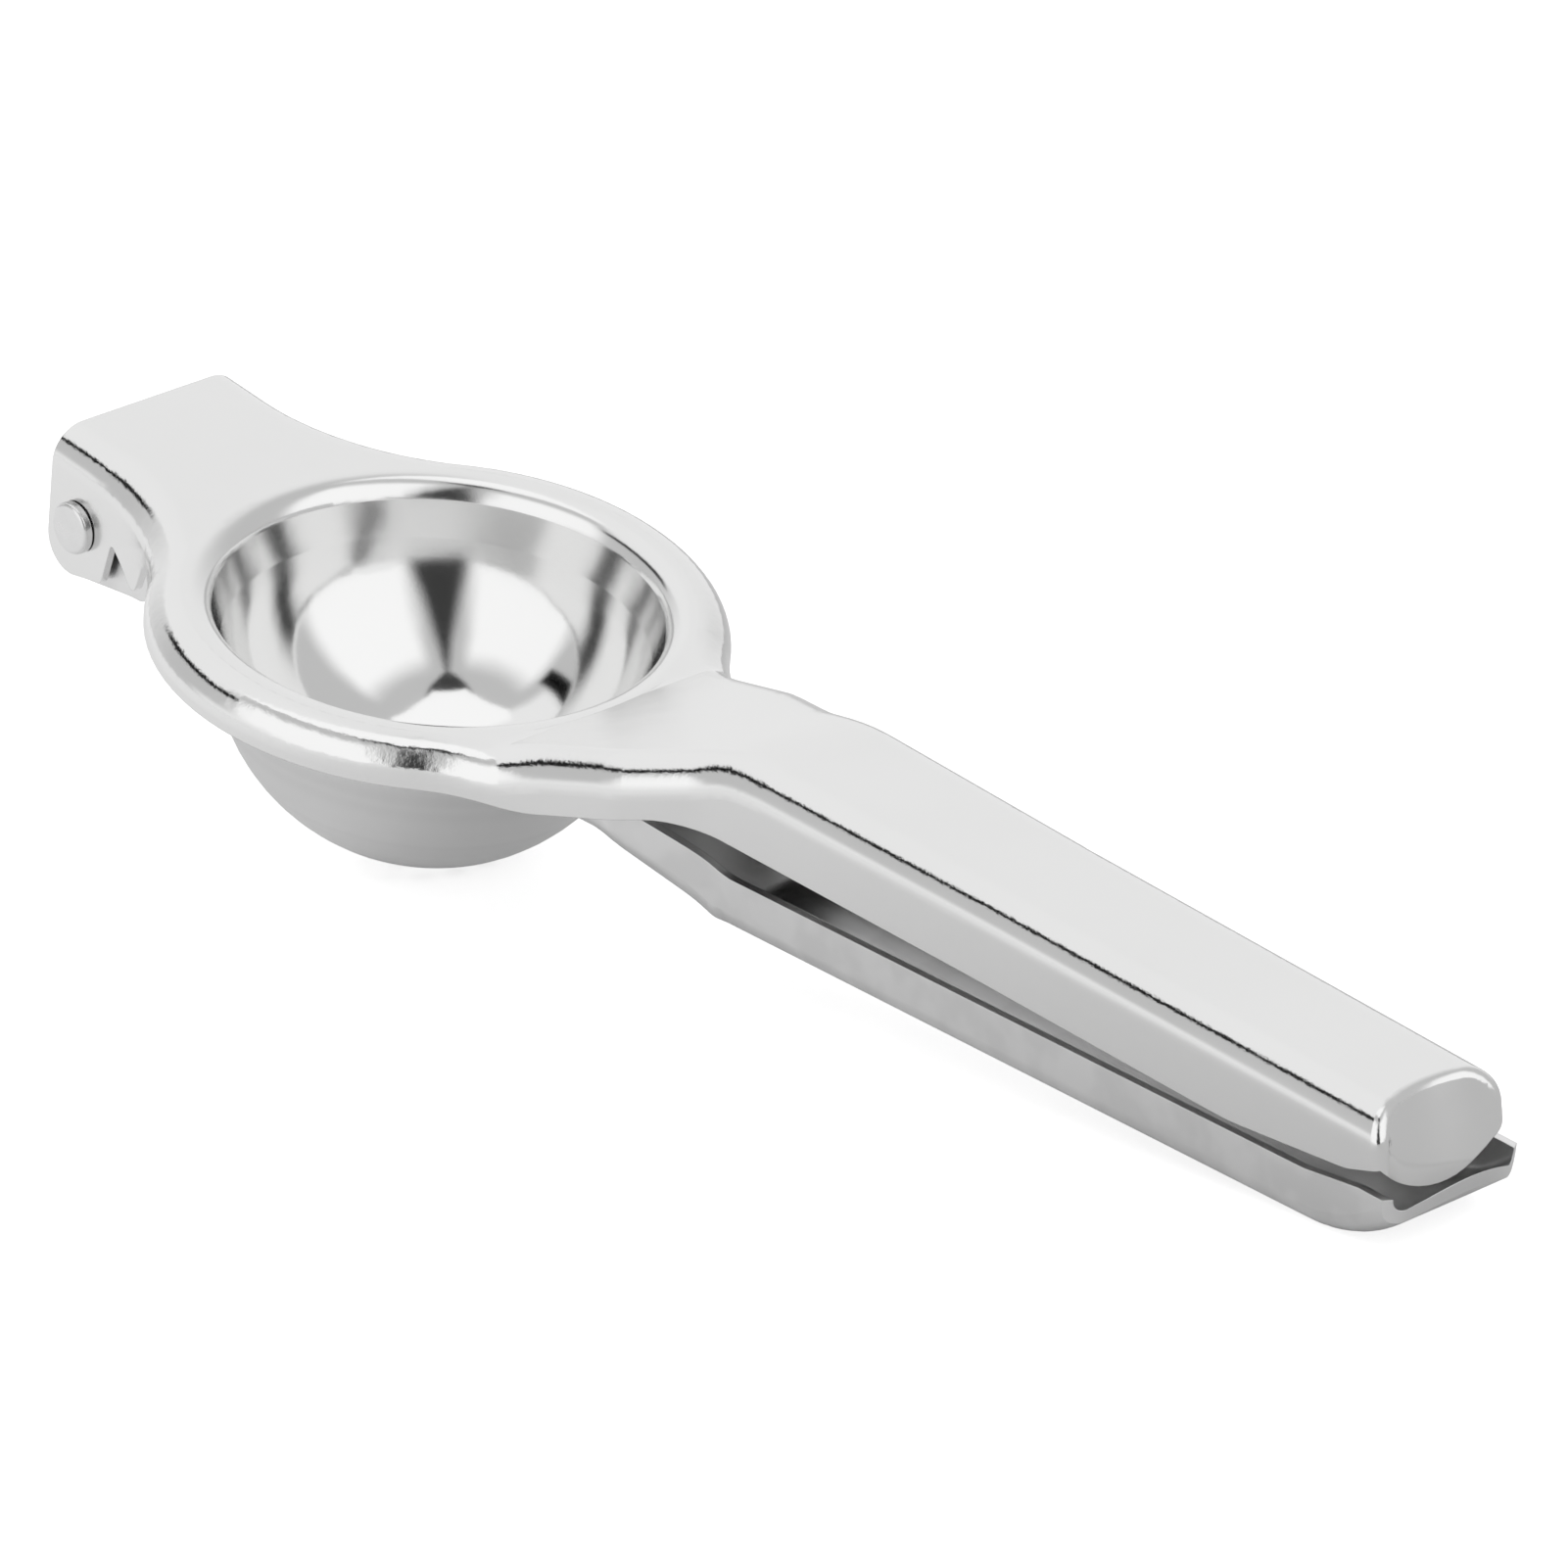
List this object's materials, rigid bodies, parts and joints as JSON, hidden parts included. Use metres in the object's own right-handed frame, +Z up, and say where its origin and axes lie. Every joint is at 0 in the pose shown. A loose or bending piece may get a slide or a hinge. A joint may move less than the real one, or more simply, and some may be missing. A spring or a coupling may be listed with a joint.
{
  "type": "hinged lemon squeezer",
  "caption": "Hinged hand press for lemon halves: a domed press cup on the upper arm swings into a perforated strainer bowl on the lower arm, both pressed from stainless sheet.",
  "frame": {"origin": "bottom centre of the object's box, on the table that it rests on", "axes": "+Z up, +X from the hinge towards the ends of the handles, the object symmetric about the XZ plane"},
  "size_m": [0.2178, 0.066, 0.0432],
  "materials": {
    "press_steel": "polished stainless steel",
    "strainer_steel": "satin stainless steel",
    "rivet_steel": "turned stainless steel"
  },
  "bodies": {
    "strainer_body": {"strainer_arm": "strainer_steel", "hinge_rivet": "rivet_steel"},
    "press_body": {"press_arm": "press_steel"}
  },
  "joints": [
    {"name": "hinge_open", "type": "hinge", "parent": "strainer_body", "child": "press_body", "pos_m": [-0.10322, 0, 0.03209], "axis": [0, -1, 0], "range_deg": [0, 120]}
  ]
}
